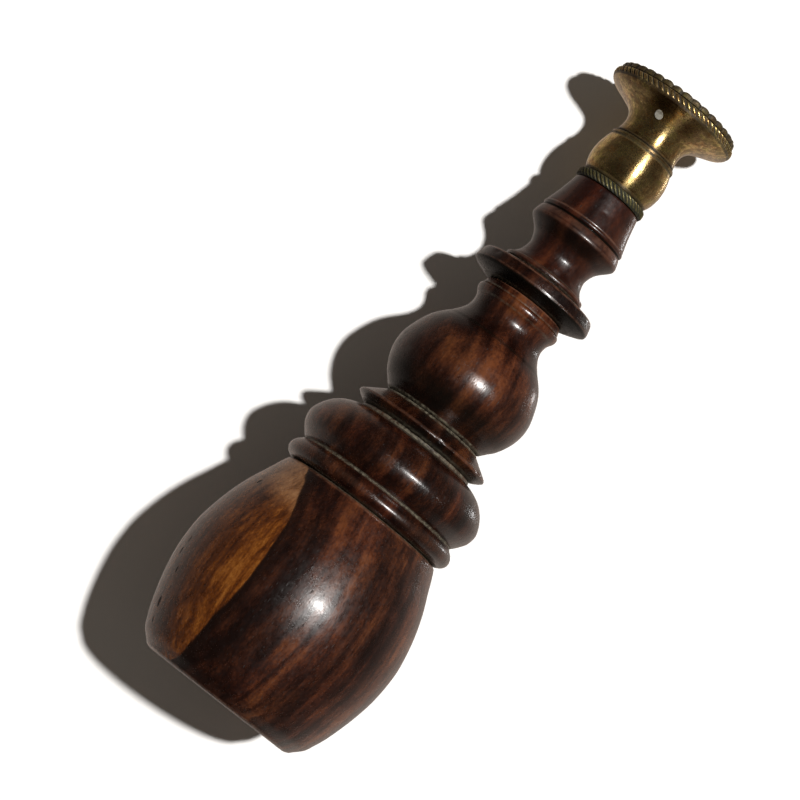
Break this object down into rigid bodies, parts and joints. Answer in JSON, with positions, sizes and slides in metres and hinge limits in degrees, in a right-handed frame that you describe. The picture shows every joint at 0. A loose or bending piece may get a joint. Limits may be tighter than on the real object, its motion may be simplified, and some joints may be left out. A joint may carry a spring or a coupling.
{
  "type": "desk seal",
  "caption": "Turned rosewood hand stamp: flat-ended barrel pommel, moulded sectional handle and a screwed-on brass head with a milled rim and a plain face.",
  "frame": {"origin": "centre of the flat end face of the barrel pommel", "axes": "+Z along the turning axis towards the brass head, -Y is the side that carries the orientation dot (14 degrees towards -X), +X to the right seen from -Y"},
  "size_m": [0.0364, 0.0364, 0.11],
  "materials": {
    "rosewood": "waxed, polished, dark figured heartwood",
    "barrel_wood": "waxed, polished heartwood with a pale sapwood streak",
    "dark_rosewood": "waxed, almost black underneath",
    "brass": "aged, hand-worn",
    "dark_brass": "dark green-brown patina in the milling",
    "silver": "worn satin"
  },
  "bodies": {
    "barrel": {"barrel": "barrel_wood"},
    "tenon": {"barrel_tenon": "rosewood"},
    "handle": {"lower_collar": "rosewood", "collar_disc": "rosewood", "ball_neck": "rosewood", "flange": "dark_rosewood", "cone_collar": "rosewood", "milled_ring": "dark_brass", "bulb_ferrule": "brass"},
    "screw": {"head_screw": "brass"},
    "head": {"seal_head": "brass", "face_plate": "brass", "locating_pin": "silver"}
  },
  "joints": [
    {"name": "tenon_rise", "type": "slide", "parent": "barrel", "child": "tenon", "axis": [0, 0, 1], "range_m": [0, 0.005]},
    {"name": "handle_unscrew", "type": "hinge", "parent": "tenon", "child": "handle", "pos_m": [0, 0, 0.0342], "axis": [0, 0, 1], "range_deg": [0, 721]},
    {"name": "screw_rise", "type": "slide", "parent": "handle", "child": "screw", "axis": [0, 0, 1], "range_m": [0, 0.0035]},
    {"name": "head_unscrew", "type": "hinge", "parent": "screw", "child": "head", "pos_m": [0, 0, 0.10155], "axis": [0, 0, 1], "range_deg": [0, 1801]}
  ],
  "couplings": [
    {"joint": "handle_unscrew", "follows": "tenon_rise", "rad_per_m": 2513.3},
    {"joint": "head_unscrew", "follows": "screw_rise", "rad_per_m": 8976}
  ]
}
